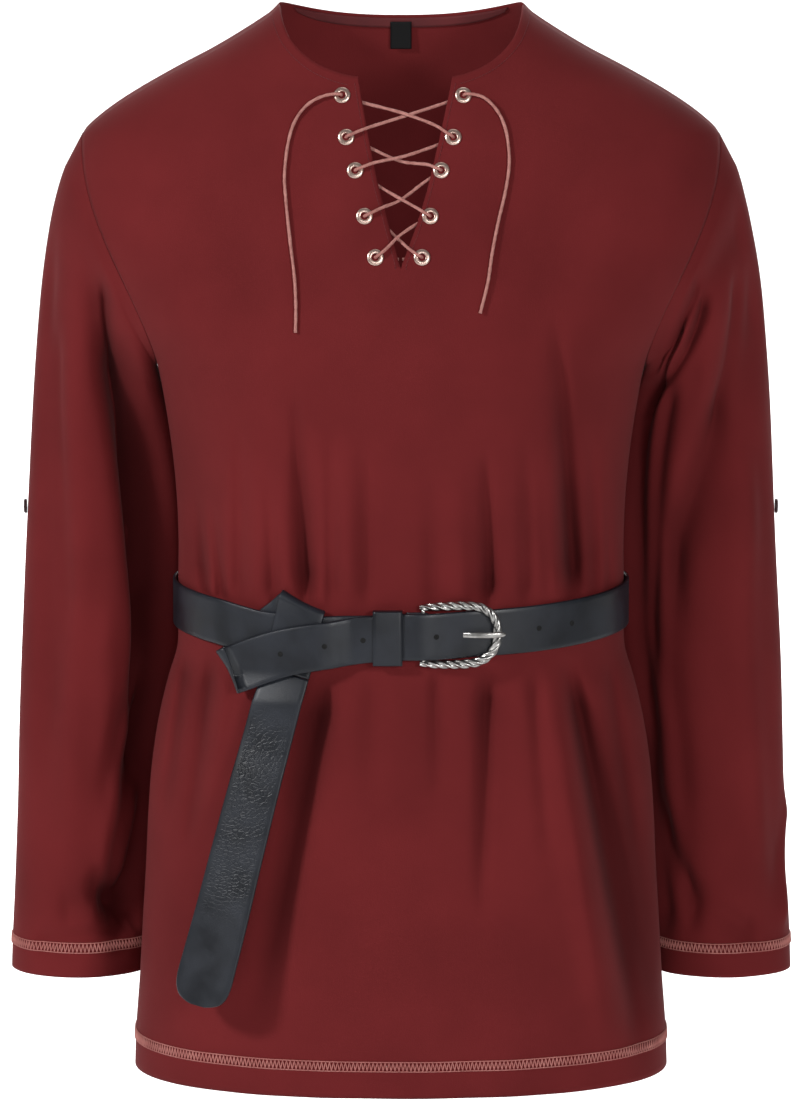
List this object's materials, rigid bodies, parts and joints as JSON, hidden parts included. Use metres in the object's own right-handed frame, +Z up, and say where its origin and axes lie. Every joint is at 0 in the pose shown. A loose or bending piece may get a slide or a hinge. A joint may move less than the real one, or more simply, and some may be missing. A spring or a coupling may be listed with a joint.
{
  "type": "medieval tunic",
  "caption": "Long-sleeved collarless tunic with a laced V slit at the neck and a knotted leather belt round the waist.",
  "frame": {"origin": "middle of the neck opening at the height of the shoulders' high points, where the wearer holds the garment up", "axes": "+Z up along the garment, the front faces -Y, +X is the wearer's left; hem lowest"},
  "size_m": [0.5884, 0.2692, 0.79],
  "materials": {
    "cloth": "matt plain cotton, wine red",
    "tape": "matt cotton tape, dark wine red",
    "label": "woven satin, black and bare",
    "lace": "twisted cotton cord, dusty rose",
    "button": "dark red, satin",
    "eyelet_metal": "pressed, pale rose",
    "leather": "black, soft sheen, stamped",
    "buckle_metal": "antique silver, cast in a twist"
  },
  "bodies": {
    "root": {"back_body": "cloth", "belt_keeper": "leather", "belt_loop": "leather", "belt_strap": "leather", "belt_tail": "leather", "buckle_frame": "buckle_metal", "buckle_prong": "buckle_metal", "eyelet_left_1": "eyelet_metal", "eyelet_left_2": "eyelet_metal", "eyelet_left_3": "eyelet_metal", "eyelet_left_4": "eyelet_metal", "eyelet_left_5": "eyelet_metal", "eyelet_right_1": "eyelet_metal", "eyelet_right_2": "eyelet_metal", "eyelet_right_3": "eyelet_metal", "eyelet_right_4": "eyelet_metal", "eyelet_right_5": "eyelet_metal", "front_body": "cloth", "lace_left": "lace", "lace_right": "lace", "neck_binding": "tape", "neck_label": "label", "sleeve_button_left": "button", "sleeve_button_right": "button", "sleeve_left": "cloth", "sleeve_right": "cloth"}
  },
  "joints": []
}
